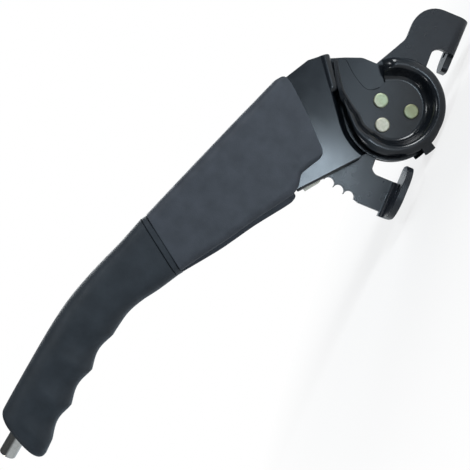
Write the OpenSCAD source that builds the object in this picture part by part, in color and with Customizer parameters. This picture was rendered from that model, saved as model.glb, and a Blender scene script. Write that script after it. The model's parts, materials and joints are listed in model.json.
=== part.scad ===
// Parking brake lever for a car: floor bracket with toothed sector, pressed arm, grip and release button

/* [Placement] */
// Height of the pivot axis above the floor plane, mm
pivot_height = 23; // [18:0.5:30]
// Distance of the pivot axis forward of the bolt centre, mm
pivot_forward = 3; // [0:0.5:8]

/* [Floor bracket] */
// Thickness of the bracket plate, mm
plate_t = 4; // [3:0.25:5]
// Outer radius of the ring round the pivot, mm
ring_r = 22.5; // [20:0.5:26]
// Inner radius of the bend at each foot, mm
foot_bend_r = 3; // [2:0.5:5]
// Reach of each foot from the middle plane, mm
foot_reach = 26; // [24:1:36]
// Radius of the free corners of each foot, mm
foot_round = 13; // [5:0.5:15]
// Half distance between the two bolt holes along the car, mm
bolt_half_x = 49; // [46:0.5:52]
// Sideways offset of each bolt hole, mm
bolt_side_y = 16; // [14:0.5:20]
// Radius of each bolt hole, mm
bolt_hole_r = 4.25; // [3.25:0.25:5.25]

/* [Ratchet] */
// Radius over the tooth tips, mm
tip_r = 59.3; // [57:0.1:61]
// Angle from tooth to tooth, degrees
tooth_pitch = 7.2; // [6.8:0.1:8]
// Radius of each tooth hollow, mm
hollow_r = 3.5; // [2.8:0.1:3.6]
// Angle of the lowest tooth hollow above level, degrees
first_hollow = 4.9; // [4:0.1:7]
// Number of tooth hollows
hollow_count = 7; // [5:1:7]
// Tooth hollow that the pawl stands over at rest, counted from zero
rest_hollow = 3; // [2:1:4]

/* [Pivot] */
// Radius of the bearing disc, mm
disc_r = 17; // [15:0.5:18]
// Running clearance round the bearing disc, mm
disc_play = 0.05; // [0.02:0.01:0.1]
// Gap between the bracket and each lobe of the cheeks, mm
side_play = 0.3; // [0.2:0.05:0.6]
// Radius of each rivet shank, mm
rivet_r = 2.75; // [2:0.25:3.5]
// Radius of each rivet head, mm
rivet_head_r = 4.6; // [4:0.1:5.5]
// Height of each rivet head, mm
rivet_head_t = 1.7; // [1:0.1:2.5]

/* [Cheeks and dishes] */
// Thickness of the pressed sheet, mm
sheet_t = 2; // [1.5:0.1:2.5]
// Outer half width of the arm, mm
arm_half = 13.5; // [12:0.25:15]
// Radius where the step from lobe to arm begins, mm
step_r = 30.5; // [30:0.25:32]
// Width of the step, mm
step_w = 5; // [4:0.5:8]
// Angle at which the step leaves its circle, degrees
step_leave = 52; // [46:1:58]
// Radius of the flat floor of each dish, mm
dish_floor_r = 18.5; // [16:0.5:19]
// Outer radius of the dish rim, mm
dish_rim_r = 29; // [27:0.5:30]
// Depth of each dish from rim to floor, mm
dish_depth = 10.2; // [8:0.2:12]
// Inner radius of the bend between floor and wall of each dish, mm
dish_bend = 3.5; // [2:0.5:5]
// Outer radius of the bend at the dish rim, mm
rim_bend = 2.6; // [2.2:0.2:4]
// Width of the stop tab on each dish, mm
tab_w = 7.6; // [5:0.2:9]
// Reach of the stop tab past the rim, mm
tab_reach = 4.5; // [3:0.25:5]

/* [Handle tube] */
// Outer radius of the tube, mm
tube_r = 10; // [9:0.25:11]
// Wall of the tube, mm
tube_wall = 1.5; // [1:0.25:2]
// Slope of the rear part of the tube, degrees
arm_slope = 27; // [25:0.5:29]
// Slope of the grip part of the tube, degrees
grip_slope = 8; // [6:0.5:10]
// Radius of the bend in the tube, mm
tube_bend = 60; // [45:5:80]
// Length of the rear part up to the bend point, mm
tube_rear = 77; // [74:0.5:79]
// Length of the grip part from the bend point, mm
tube_front = 86; // [84:0.5:88]

/* [Button and rod] */
// Radius of the button, mm
button_r = 5.3; // [4.5:0.1:6]
// Distance from the bend point to the end of the button, mm
button_end = 107.5; // [104:0.5:112]
// Radius of the push rod, mm
rod_r = 3; // [2.5:0.25:3.5]
// Travel of the button, mm
button_travel = 4.5; // [4:0.1:4.6]

/* [Pawl] */
// Radius of the pawl axle, mm
pawl_pin_r = 4; // [3:0.25:5]
// Running clearance round the pawl axle, mm
pawl_play = 0.05; // [0.02:0.01:0.1]
// Distance of the pawl axle from the tooth tips, mm
pawl_pin_stand = 8.7; // [8:0.1:10]
// Angle of the pawl axle above level, degrees
pawl_pin_angle = 48; // [46:0.5:50]
// Swing of the pawl from the teeth to clear, degrees
pawl_swing = 10; // [9.5:0.25:10.5]

/* [Sleeve and grip] */
// Outer half width of the sleeve, mm
sleeve_half = 17; // [16:0.25:19]
// Half width of the grip, mm
grip_half = 15.2; // [14:0.2:17]
// Depth of the finger hollows, mm
finger_depth = 2.8; // [1:0.1:4]
// Distance from one finger ridge to the next, mm
finger_pitch = 25.2; // [23:0.2:27]
// Width of the seam band, mm
band_w = 4.6; // [3:0.2:6]

/* [Hidden] */
$fn = 64;
fit = 0.02;
lap = 0.6;
lobe_y = plate_t / 2 + side_play;
floor_y = lobe_y + sheet_t;
dish_y = floor_y + sheet_t;
arm_in = arm_half - sheet_t;
foot_z = -pivot_height;
leg_z = foot_z + plate_t + foot_bend_r;
wing_round = 3;
front_leg = 40;
front_wing = 10.4;
front_end = 63;
rear_leg = -47;
rear_wing = 10;
rear_end = -70;
hollow_reach = tip_r - 0.3;
rest_angle = first_hollow + rest_hollow * tooth_pitch;
rim_y = dish_y + dish_depth;
dish_flare = 4.8;
dish_bend_run = dish_bend * tan(atan2(dish_depth, dish_flare) / 2);
ear_edge = step_r - 0.25;
ear_lip_t = 1.7;
tab_angle = -60;
step_lap = 0.3;
step_tail = 1.6;
step_shift = 1.3;
sector_end = first_hollow + (hollow_count - 1) * tooth_pitch + 6.4;
rivet_out = dish_floor_r - dish_bend_run - rivet_head_r - 0.1;
rivet_at = [[10, 104], [10.5, 252], [rivet_out, 16]];
knee = [181, 124.3];
pawl_pin = polar(tip_r + pawl_pin_stand, pawl_pin_angle);
nose_r = hollow_r - 0.45;
tail_r = 4;
tail_reach = button_travel / (pawl_swing * PI / 180);
tail_tip = pawl_pin + [0, tail_reach];
rod_tip = tail_tip + (tail_r + 0.3) * dir(grip_slope);
seat_s = 38;
collar_s = 64;
collar_t = 3;
coil_r = 5.6;
bush_s = 74;
bush_lip = 2;
keel_half = 9.5;
finger_start = 193.9;
seam_top = [116.8, 115.1];
seam_low = [140.7, 81.3];
band_step = band_w * dir(35);

// Points and directions in the side view, x forward and z up
function polar(r, a) = [r * cos(a), r * sin(a)];
function dir(a) = [cos(a), sin(a)];
function side(a) = [-sin(a), cos(a)];
function unit(v) = v / norm(v);
function turn(v, a) = [v[0] * cos(a) - v[1] * sin(a), v[0] * sin(a) + v[1] * cos(a)];
function meet(p, a, q, b) =
    let (d = dir(a), e = dir(b), w = q - p)
    p + d * ((w[0] * e[1] - w[1] * e[0]) / (d[0] * e[1] - d[1] * e[0]));

// One corner of an outline, rounded to radius b[2]
function rounded(a, b, c) =
    let (p = [b[0], b[1]], u = unit([a[0], a[1]] - p), v = unit([c[0], c[1]] - p))
    let (half = acos(u * v) / 2, r = b[2], mid = p + unit(u + v) * r / sin(half))
    let (from = p + u * r / tan(half) - mid, s = u[0] * v[1] - u[1] * v[0] > 0 ? -1 : 1)
    let (n = max(2, ceil((180 - 2 * half) / 10)))
    [for (i = [0:n]) mid + turn(from, s * i * (180 - 2 * half) / n)];

// Closed outline from corners [x, z, radius]
function soft(p) =
    [for (i = [0:len(p) - 1])
        each p[i][2] == 0 ? [[p[i][0], p[i][1]]]
            : rounded(p[(i + len(p) - 1) % len(p)], p[i], p[(i + 1) % len(p)])];

// Places that parts are drawn at
module at_pivot() { translate([pivot_forward, 0, pivot_height]) children(); }
module at(p) { translate([p[0], 0, p[1]]) children(); }
module along(p, a) { at(p) rotate([0, -a, 0]) children(); }
module slab(y0, y1) { translate([0, y1, 0]) rotate([90, 0, 0]) linear_extrude(y1 - y0) children(); }
module drum(r, y0, y1) { translate([0, y0, 0]) rotate([-90, 0, 0]) cylinder(r = r, h = y1 - y0); }
module spun() { rotate([-90, 0, 0]) rotate_extrude() children(); }
module bar(r, s0, s1) { translate([s0, 0, 0]) rotate([0, 90, 0]) cylinder(r = r, h = s1 - s0); }
module stick(p, q, r) { along(p, atan2(q[1] - p[1], q[0] - p[0])) bar(r, 0, norm(q - p)); }

// Bend of a round bar at point k, from slope a to slope b
module elbow(k, a, b, bend, r) {
    s = b < a ? -1 : 1;
    c = k - bend * tan(abs(a - b) / 2) * dir(a) + s * bend * side(a);
    at(c) rotate([0, lap - (s < 0 ? 90 + b : a - 90), 0]) rotate([90, 0, 0])
        rotate_extrude(angle = abs(a - b) + 2 * lap) translate([bend, 0]) circle(r - fit);
}
function ahead(k, a, b, bend) = k + bend * tan(abs(a - b) / 2) * dir(b);
function before(k, a, b, bend) = k - bend * tan(abs(a - b) / 2) * dir(a);

// Bent bar along the handle, from s0 behind the bend point to s1 past it
module handle_bar(r, s0, s1) {
    stick(knee - s0 * dir(arm_slope), before(knee, arm_slope, grip_slope, tube_bend), r);
    elbow(knee, arm_slope, grip_slope, tube_bend, r);
    stick(ahead(knee, arm_slope, grip_slope, tube_bend), knee + s1 * dir(grip_slope), r);
}

// Ring of points between top point t and low point b, half width w, squareness q
function ring(t, b, w, q, n = 32) =
    let (m = (t + b) / 2, e = (t - b) / 2)
    [for (i = [0:n - 1])
        let (c = cos(360 * i / n), s = sin(360 * i / n))
        let (v = sign(s) * pow(abs(s), 2 / q), h = sign(c) * pow(abs(c), 2 / q))
        [m[0] + e[0] * v, w * h, m[1] + e[1] * v]];

// Solid through a row of rings
module loft(rings) {
    n = len(rings[0]);
    m = len(rings);
    walls = [for (j = [0:m - 2]) for (i = [0:n - 1])
        let (a = j * n + i, b = j * n + (i + 1) % n)
        each [[a, b + n, b], [a, a + n, b + n]]];
    polyhedron(
        points = [for (r = rings) each r],
        faces = concat([[for (i = [0:n - 1]) i]], walls, [[for (i = [n - 1:-1:0]) (m - 1) * n + i]]));
}

// Smooth value between the four neighbours a, b, c, d
function blend(a, b, c, d, t) =
    b + t * (c - a) / 2 + t * t * (a - 2.5 * b + 2 * c - d / 2)
    + t * t * t * (1.5 * b - 1.5 * c + (d - a) / 2);
function smooth_row(p, steps) =
    let (m = len(p) - 1)
    [for (i = [0:m]) for (k = [0:i < m ? steps - 1 : 0])
        blend(p[max(i - 1, 0)], p[i], p[min(i + 1, m)], p[min(i + 2, m)], k / steps)];

// Wire of radius r along a path, with n sides
function wire_ring(p, t, ref, r, n) =
    let (u = cross(t, ref) / norm(cross(t, ref)), v = cross(u, t))
    [for (i = [0:n - 1]) p + r * (cos(360 * i / n) * u + sin(360 * i / n) * v)];
module wire(path, ref, r, n = 8) {
    m = len(path) - 1;
    loft([for (i = [0:m])
        let (t = path[min(i + 1, m)] - path[max(i - 1, 0)])
        wire_ring(path[i], t / norm(t), ref, r, n)]);
}

// Floor bracket
module foot(x0, x1, bend0, bend1, hole_x) {
    y0 = plate_t / 2 + foot_bend_r;
    translate([bend0, 0, 0]) intersection() {
        translate([0, y0, leg_z]) difference() {
            bar(foot_bend_r + plate_t, 0, bend1 - bend0);
            bar(foot_bend_r, -1, bend1 - bend0 + 1);
        }
        translate([-1, -plate_t / 2 - 1, foot_z - 1])
            cube([bend1 - bend0 + 2, y0 + plate_t / 2 + 1, leg_z - foot_z + 1]);
    }
    translate([0, 0, foot_z]) difference() {
        linear_extrude(plate_t) polygon(soft([
            [x0, y0, bend0 > x0 ? wing_round : 0], [x1, y0, bend1 < x1 ? wing_round : 0],
            [x1, foot_reach, foot_round], [x0, foot_reach, foot_round]]));
        translate([hole_x, bolt_side_y, -1]) cylinder(r = bolt_hole_r, h = plate_t + 2);
    }
}
module base_plate() {
    color([0.19, 0.21, 0.24]) at_pivot() {
        difference() {
            union() {
                drum(ring_r, -plate_t / 2, plate_t / 2);
                intersection() {
                    drum(tip_r, -plate_t / 2, plate_t / 2);
                    slab(-plate_t, plate_t)
                        polygon([[0, 0], polar(90, -3), polar(90, 30), polar(90, sector_end)]);
                }
                slab(-plate_t / 2, plate_t / 2) polygon(soft([
                    [0, 3, 0], [20, 5, 0], [32.7, 2.4, 4], [front_leg, -4.4, 5], [front_leg, leg_z, 0],
                    [60.2, leg_z, 0], [60.2, -2, 0], [59, 1.6, 0], [40, 10, 0], [0, 9, 0]]));
                slab(-plate_t / 2, plate_t / 2) polygon(soft([
                    [0, 0, 0], [-8, 20, 0], [-20, 22.4, 0], [-37.5, 13.2, 8], [-45, 9.4, 8],
                    [rear_end, 9.4, 15], [rear_end, leg_z, 0], [rear_leg, leg_z, 0],
                    [rear_leg, -8.2, 5], [-34, -8.7, 0], [-16, -14, 0]]));
            }
            drum(disc_r + disc_play, -plate_t, plate_t);
            for (k = [0:hollow_count - 1])
                at(polar(hollow_reach, first_hollow + k * tooth_pitch)) drum(hollow_r, -plate_t, plate_t);
        }
        foot(front_leg - front_wing, front_end, front_leg, front_end, bolt_half_x - pivot_forward);
        mirror([0, 1, 0]) foot(rear_end, rear_leg + rear_wing, rear_end, rear_leg, -bolt_half_x - pivot_forward);
    }
}

// Cheeks: outline of the whole pressing, and the part inside the step line
arm_top = [[104, 106.2], [68.6, 92.3], [32.6, 78.6], [9, 69.3], [-6.5, 60.5]];
module arm_shape() {
    polygon(soft([
        [0, 0, 0], [14, -8.8, 0], [66.4, 35.6, 0], [99, 62.5, 0], [126.5, 83, 0], [110.5, 108.7, 0],
        [104, 106.2, 0], [9, 69.3, 0], [-6.5, 60.5, 3], [-12.5, 53.5, 3], [-19, 40, 6],
        [-23, 30, 8], [-23, 12, 0]]));
}
module inside_step(s) {
    circle(s);
    out = s * dir(step_leave);
    far = 70 * side(step_leave);
    polygon([[0, 0], out, out + far, far]);
}
module lobe_shape() {
    intersection() {
        inside_step(step_r + step_lap);
        union() {
            arm_shape();
            circle(step_r + step_lap);
        }
    }
}
function step_curve(y) =
    [for (i = [0:6]) [step_r + step_w * i / 6, y + (arm_half - floor_y) * (1 - cos(30 * i)) / 2]];
module step_profile() {
    r0 = step_r - step_tail;
    r1 = step_r + step_w + step_tail;
    low = lobe_y + fit;
    high = floor_y - fit;
    rise = arm_half - floor_y;
    polygon(concat(
        [[r0, high]], step_curve(high), [[r1, high + rise]], [[r1, low + rise]],
        [for (i = [6:-1:0]) step_curve(low)[i] + [step_shift, 0]], [[r0, low]]));
}
module step_wall() {
    intersection() {
        union() {
            rotate([-90, 0, 0]) rotate([0, 0, -step_leave])
                rotate_extrude(angle = step_leave + 20) step_profile();
            rotate([0, -step_leave, 0]) linear_extrude(70) step_profile();
        }
        slab(0, arm_half + 1) arm_shape();
    }
}
module cheek() {
    color([0.13, 0.14, 0.16]) at_pivot() difference() {
        union() {
            slab(lobe_y, floor_y) lobe_shape();
            step_wall();
            slab(arm_in, arm_half) difference() {
                arm_shape();
                inside_step(step_r + step_w + step_lap);
            }
            slab(0, arm_half - 0.5) polygon(concat(
                [for (p = arm_top) p + [0.1, -0.3]], [[-9.6, 56.2], [-8, 54.9]],
                [for (i = [4:-1:0]) arm_top[i] + (i == 4 ? [1.8, -2.1] : [0.7, -2.2])]));
        }
        for (r = rivet_at) at(polar(r[0], r[1])) drum(rivet_r + fit, -1, 20);
        at(pawl_pin) drum(pawl_pin_r + fit, -1, 20);
    }
}
module left_cheek() { cheek(); }
module right_cheek() { mirror([0, 1, 0]) cheek(); }

// Dished cable guides; the ear runs beside the straight step of the cheek
module beside_step() { rotate(step_leave) children(); }
module ear_shape() {
    beside_step() polygon(soft([
        [0, 0, 0], [15.9, -4.1, 0], [ear_edge - 4, -6.6, 0], [ear_edge - 0.6, 8, 6], [ear_edge, 19, 6],
        [ear_edge - 3.4, 39.6, 3], [ear_edge - 10.4, 38.8, 3], [18.5, 29, 6], [15.3, 19.4, 6],
        [10.1, 15.5, 4], [1.9, 17.4, 0]]));
}
module ear_lip() {
    wall = [ear_lip_t, 0];
    row = [[ear_edge - 2, -7], [ear_edge, 7], [ear_edge + 0.05, 19], [ear_edge - 3.2, 39.2]];
    beside_step() polygon(concat(row, [for (i = [3:-1:0]) row[i] - wall]));
}
module open_wedge() { polygon([[0, 0], polar(60, 38), polar(60, 90), polar(60, 142)]); }
function dish_profile() = soft([
    [0, dish_y, 0], [dish_floor_r, dish_y, dish_bend], [dish_floor_r + dish_flare, rim_y, rim_bend],
    [dish_rim_r, rim_y, sheet_t * 0.45], [dish_rim_r, rim_y - sheet_t, sheet_t * 0.45],
    [dish_floor_r + dish_flare + 1.4, rim_y - sheet_t, 0.5],
    [dish_floor_r + 1.4, floor_y, dish_bend + sheet_t], [0, floor_y, 0]]);
module dish() {
    color([0.15, 0.16, 0.18]) at_pivot() difference() {
        union() {
            difference() {
                spun() polygon(dish_profile());
                slab(dish_y - 0.01, 40) open_wedge();
                slab(0, 40) difference() {
                    open_wedge();
                    circle(dish_floor_r - dish_bend / 2);
                }
            }
            slab(floor_y, dish_y) ear_shape();
            intersection() {
                slab(floor_y + fit, rim_y - fit) ear_lip();
                along(polar(ear_edge - 3.3, step_leave) - 7 * side(step_leave), step_leave + 90)
                    translate([0, 0, -20]) linear_extrude(40)
                        polygon([[-9, 0], [-9, rim_y], [8, rim_y], [48, rim_y - 6.5], [48, 0]]);
            }
            along([0, 0], tab_angle) translate([dish_rim_r - 2, rim_y - sheet_t + fit, -tab_w / 2])
                cube([tab_reach + 2, sheet_t - 2 * fit, tab_w]);
        }
        for (r = rivet_at) at(polar(r[0], r[1])) drum(rivet_r + fit, -1, 30);
    }
}
module left_dish() { dish(); }
module right_dish() { mirror([0, 1, 0]) dish(); }

// Pivot
module pivot_disc() {
    color([0.55, 0.56, 0.58]) at_pivot() difference() {
        drum(disc_r, -lobe_y, lobe_y);
        for (r = rivet_at) at(polar(r[0], r[1])) drum(rivet_r + fit, -20, 20);
    }
}
module rivet(i) {
    top = dish_y + rivet_head_t;
    color([0.72, 0.70, 0.52]) at_pivot() at(polar(rivet_at[i][0], rivet_at[i][1])) spun() polygon([
        [0, -top], [rivet_head_r - 0.5, -top], [rivet_head_r, 0.5 - top], [rivet_head_r, -dish_y],
        [rivet_r, -dish_y], [rivet_r, dish_y], [rivet_head_r, dish_y], [rivet_head_r, top - 0.5],
        [rivet_head_r - 0.5, top], [0, top]]);
}
module rivet_upper() { rivet(0); }
module rivet_lower() { rivet(1); }
module rivet_front() { rivet(2); }

// Handle tube and its saddle
module handle_tube() {
    color([0.30, 0.31, 0.33]) at_pivot() difference() {
        handle_bar(tube_r, tube_rear, tube_front);
        handle_bar(tube_r - tube_wall, tube_rear + 1, tube_front + 1);
    }
}
module tube_saddle() {
    color([0.30, 0.31, 0.33]) at_pivot() along(knee, arm_slope) difference() {
        translate([-tube_rear, -arm_in, -tube_r - 3]) cube([9, 2 * arm_in, 2 * tube_r + 6]);
        bar(tube_r + fit, -tube_rear - 1, 0);
    }
}

// Sleeve over the cheeks
module sleeve_shape() {
    polygon(soft([
        [4, 80, 0], [7.6, 73.4, 0], [14.9, 58.9, 14], [33.8, 40.3, 14], [45.3, 23.5, 5], [61.8, 30.6, 3],
        [68, 30.4, 2], [160, 60, 0], [160, 140, 0], [4, 140, 0]]));
}
module sleeve() {
    tops = [[3, 71.5], [21, 78.4], [40, 85.6], [68, 96.2], [92, 105.6], seam_top];
    lows = [[41, 20.3], [54, 26.5], [66, 32.5], [80, 44.5], [104, 59.5], seam_low];
    color([0.24, 0.26, 0.29]) at_pivot() difference() {
        union() {
            intersection() {
                loft([for (i = [0:5]) ring(tops[i], lows[i], sleeve_half - 0.08 * i, 5, 48)]);
                slab(-30, 30) sleeve_shape();
            }
            slab(-keel_half, keel_half) polygon(soft([
                [70.2, 38.6, 0], [73.6, 35.7, 2], [137.4, 79.1, 0], [134, 84, 0],
                [104, 66, 0], [74, 48, 0]]));
        }
        slab(-arm_half, arm_half) polygon([
            [-10, 50], [20, 0], [68, 20], [74, 41.5], [99, 61.5], [130.5, 83], [114, 110.2],
            [104, 106.5], [9, 69.6], [-20, 58]]);
        along(knee, arm_slope) bar(tube_r + fit, -tube_rear - 10, 0);
    }
}
module seam_band() {
    inset = 0.9 * unit(seam_top - seam_low);
    color([0.10, 0.11, 0.12]) at_pivot() difference() {
        loft([
            ring(seam_top - inset, seam_low + inset, sleeve_half - 1.3, 4.5),
            ring(seam_top + 0.2 * band_step, seam_low + 0.2 * band_step, sleeve_half - 0.5, 4.5),
            ring(seam_top + 0.8 * band_step, seam_low + 0.8 * band_step, sleeve_half - 0.5, 4.5),
            ring(seam_top + band_step - inset, seam_low + band_step + inset, sleeve_half - 1.3, 4.5)]);
        along(knee, arm_slope) bar(tube_r + fit, -tube_rear - 10, 0);
    }
}

// Grip: stations of top point, low point, half width and squareness
grip_rows = [
    [seam_top + band_step, seam_low + band_step, sleeve_half - 0.5, 4.5],
    [[137, 123.5], [156.5, 91.1], 16.2, 3.8],
    [[152, 129.6], [167.3, 98.4], 15.8, 3.2],
    [[167, 135.3], [177.3, 103.4], 15.5, 2.8],
    [[182, 140.1], [187.8, 105.9], grip_half, 2.5],
    [[197, 143.4], [201.3, 108.1], grip_half, 2.4],
    [[214, 146], [219, 110.8], grip_half, 2.4],
    [[240, 149.3], [246.6, 114.6], grip_half, 2.4],
    [[254.5, 151], [267.5, 116.8], grip_half, 2.4],
    [[260.6, 151.6], [277.6, 117.4], grip_half, 2.5]
];
function finger(x) =
    x < finger_start || x > finger_start + 3 * finger_pitch ? 0
        : finger_depth * pow(abs(sin((x - finger_start) * 180 / finger_pitch)), 1.2);
function grip_ring(r, in, on) =
    let (e = unit(r[0] - r[1]), f = on * dir(grip_slope))
    ring(r[0] - in * e + f, r[1] + (in + finger(r[1][0])) * e + f, r[2] - in, r[3]);
module grip() {
    last = grip_rows[len(grip_rows) - 1];
    color([0.11, 0.12, 0.13]) at_pivot() difference() {
        loft(concat(
            [for (r = smooth_row(grip_rows, 5)) grip_ring(r, 0, 0)],
            [for (a = [25:20:85]) grip_ring(last, 4.5 * (1 - cos(a)), 4.5 * sin(a))]));
        handle_bar(tube_r + fit, tube_rear + 10, tube_front + bush_lip);
        along(knee, grip_slope) bar(button_r + 0.7, 0, 140);
    }
}

// Button, rod and spring
module guide_bush() {
    color([0.85, 0.85, 0.80]) at_pivot() along(knee, grip_slope) difference() {
        union() {
            bar(tube_r - tube_wall - fit, bush_s, tube_front);
            bar(tube_r, tube_front, tube_front + bush_lip);
        }
        bar(button_r + 0.05, bush_s - 1, tube_front + bush_lip + 1);
    }
}
module spring_seat() {
    color([0.55, 0.56, 0.58]) at_pivot() along(knee, grip_slope) difference() {
        bar(tube_r - tube_wall - fit, seat_s, seat_s + 4);
        bar(rod_r + 0.4, seat_s - 1, seat_s + 5);
    }
}
module rod_spring() {
    s0 = seat_s + 4 + 0.7;
    s1 = collar_s - 0.7;
    color([0.60, 0.61, 0.63]) at_pivot() along(knee, grip_slope)
        wire(
            [for (i = [0:84]) [s0 + (s1 - s0) * i / 84, coil_r * cos(30 * i), coil_r * sin(30 * i)]],
            [1, 0, 0], 0.65, 6);
}
module push_rod() {
    turn_2 = meet(rod_tip, grip_slope, knee, arm_slope);
    color([0.62, 0.63, 0.65]) at_pivot() {
        stick(rod_tip, before(turn_2, grip_slope, arm_slope, 20), rod_r);
        elbow(turn_2, grip_slope, arm_slope, 20, rod_r);
        stick(ahead(turn_2, grip_slope, arm_slope, 20), before(knee, arm_slope, grip_slope, 40), rod_r);
        elbow(knee, arm_slope, grip_slope, 40, rod_r);
        stick(ahead(knee, arm_slope, grip_slope, 40), knee + (button_end - 8) * dir(grip_slope), rod_r);
    }
}
module button() {
    s0 = collar_s + collar_t;
    color([0.86, 0.87, 0.88]) at_pivot() along(knee, grip_slope) difference() {
        rotate([0, 90, 0]) rotate_extrude() polygon([
            [0, s0], [button_r, s0], [button_r, button_end - 0.8], [button_r - 0.8, button_end],
            [0, button_end]]);
        bar(rod_r + fit, s0 - 1, button_end - 8);
    }
}
module spring_collar() {
    color([0.55, 0.56, 0.58]) at_pivot() along(knee, grip_slope) difference() {
        bar(7.4, collar_s, collar_s + collar_t);
        bar(rod_r + fit, collar_s - 1, collar_s + collar_t + 1);
    }
}

// Pawl with its axle, spacers and spring
module pawl_pin() {
    color([0.62, 0.63, 0.65]) at_pivot() at(pawl_pin) drum(pawl_pin_r, -arm_half, arm_half);
}
module spacer() {
    color([0.55, 0.56, 0.58]) at_pivot() at(pawl_pin) difference() {
        drum(6, plate_t / 2 + 0.2, arm_in);
        drum(pawl_pin_r + fit, 0, 20);
    }
}
module left_spacer() { spacer(); }
module right_spacer() { mirror([0, 1, 0]) spacer(); }
module pawl_spring() {
    color([0.60, 0.61, 0.63]) at_pivot() at(pawl_pin)
        wire(concat(
            [for (i = [5:-1:1]) [-7.4 + 0.2 * i, 4.2 - 1.1 * i, 3.4 * i]],
            [for (i = [0:40]) [7.4 * cos(180 + 30 * i), 4.2 + 4.6 * i / 40, 7.4 * sin(180 + 30 * i)]],
            [for (i = [1:4]) 7.4 * [cos(300), 0, sin(300)] + 3 * i * [cos(30), 0, sin(30)] + [0, 8.8, 0]]),
            [0, 1, 0.02], 0.6, 6);
}
module pawl() {
    home = polar(hollow_reach, rest_angle) - pawl_pin;
    e = dir(rest_angle);
    t = side(rest_angle);
    color([0.66, 0.62, 0.46]) at_pivot() along(pawl_pin, pawl_swing) difference() {
        slab(-plate_t / 2, plate_t / 2) {
            circle(7.2);
            translate(home) circle(nose_r);
            polygon([
                home + nose_r * t, home - nose_r * t, home + 9 * e - nose_r * t, home + 9 * e + nose_r * t]);
            polygon([
                home + 4.6 * e, home + 9 * e - nose_r * t, home + 10 * e + 4 * t, 7.2 * dir(pawl_pin_angle),
                -7.2 * dir(pawl_pin_angle)]);
            rotate(-pawl_swing) translate([-tail_r, 0]) square([2 * tail_r, tail_reach]);
            translate(turn([0, tail_reach], -pawl_swing)) circle(tail_r);
        }
        drum(pawl_pin_r + pawl_play, -10, 10);
    }
}

base_plate();
left_cheek();
right_cheek();
left_dish();
right_dish();
pivot_disc();
rivet_upper();
rivet_lower();
rivet_front();
handle_tube();
tube_saddle();
sleeve();
seam_band();
grip();
guide_bush();
spring_seat();
rod_spring();
pawl_pin();
left_spacer();
right_spacer();
pawl_spring();
push_rod();
button();
spring_collar();
pawl();
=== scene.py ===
"""Looks of a parking brake lever: finishes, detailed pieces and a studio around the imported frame."""

import json
import math

import bmesh
import bpy
from mathutils import Matrix, Vector


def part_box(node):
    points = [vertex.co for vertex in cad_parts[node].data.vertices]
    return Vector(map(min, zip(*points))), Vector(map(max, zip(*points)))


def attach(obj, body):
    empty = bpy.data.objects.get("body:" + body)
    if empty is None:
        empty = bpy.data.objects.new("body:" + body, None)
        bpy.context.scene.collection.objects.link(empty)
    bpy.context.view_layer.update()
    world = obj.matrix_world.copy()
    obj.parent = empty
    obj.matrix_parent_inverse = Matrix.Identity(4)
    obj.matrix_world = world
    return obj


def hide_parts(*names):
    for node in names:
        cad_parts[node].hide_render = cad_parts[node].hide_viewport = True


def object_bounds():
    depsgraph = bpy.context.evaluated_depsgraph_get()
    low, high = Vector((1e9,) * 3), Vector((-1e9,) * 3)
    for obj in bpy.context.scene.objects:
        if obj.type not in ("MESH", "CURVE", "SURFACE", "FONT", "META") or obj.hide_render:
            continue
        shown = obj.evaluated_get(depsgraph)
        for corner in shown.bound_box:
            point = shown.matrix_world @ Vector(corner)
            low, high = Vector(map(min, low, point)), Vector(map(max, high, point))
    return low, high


bl_info = {
    "name": "Parking brake lever looks",
    "version": (1, 0, 0),
    "blender": (4, 5, 0),
    "location": "3D View > Sidebar > Lever",
    "description": "Dresses a parking brake lever with detailed pieces, finishes and a studio",
    "category": "Object",
}

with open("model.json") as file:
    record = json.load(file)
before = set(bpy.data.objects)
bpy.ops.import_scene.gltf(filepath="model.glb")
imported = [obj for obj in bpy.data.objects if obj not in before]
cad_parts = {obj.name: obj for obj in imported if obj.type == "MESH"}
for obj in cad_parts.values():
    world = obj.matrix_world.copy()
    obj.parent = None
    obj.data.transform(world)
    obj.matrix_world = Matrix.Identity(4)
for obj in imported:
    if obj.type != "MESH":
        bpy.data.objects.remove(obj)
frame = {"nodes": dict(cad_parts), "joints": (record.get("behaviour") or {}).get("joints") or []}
CAD_BOX = [list(corner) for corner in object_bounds()]
MM = 0.001
JOINTS = {joint["name"]: joint for joint in frame["joints"]}
PIVOT = Vector(JOINTS["lever_turn"]["pos_m"])
BUTTON_AXIS = Vector(JOINTS["button_slide"]["axis"]).normalized()
GRIP_SLOPE = math.degrees(math.atan2(BUTTON_AXIS.z, BUTTON_AXIS.x))

# Bend point of the handle tube, which the button's axis passes through
KNEE = (181.0, 124.3)


# Places: side-view points are millimetres forward of and above the pivot


def place(x, z, y=0.0):
    """Frame position of a side-view point, with y millimetres to the left of the middle plane."""
    return PIVOT + Vector((x, y, z)) * MM


def unit(angle):
    """Side-view direction at that angle above level, in degrees."""
    return Vector((math.cos(math.radians(angle)), math.sin(math.radians(angle))))


def turned_by(spot, angle):
    """Side-view point turned about the pivot."""
    turn = unit(angle)
    return (spot[0] * turn.x - spot[1] * turn.y, spot[0] * turn.y + spot[1] * turn.x)


# Mesh helpers


def new_piece(name, mesh):
    """Object at the origin with that mesh, linked to the scene."""
    piece = bpy.data.objects.new(name, mesh)
    bpy.context.scene.collection.objects.link(piece)
    return piece


def mesh_from(name, points, faces):
    """Mesh whose faces point outwards."""
    mesh = bpy.data.meshes.new(name)
    mesh.from_pydata([tuple(point) for point in points], [], faces)
    work = bmesh.new()
    work.from_mesh(mesh)
    bmesh.ops.recalc_face_normals(work, faces=work.faces)
    work.to_mesh(mesh)
    work.free()
    return mesh


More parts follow.
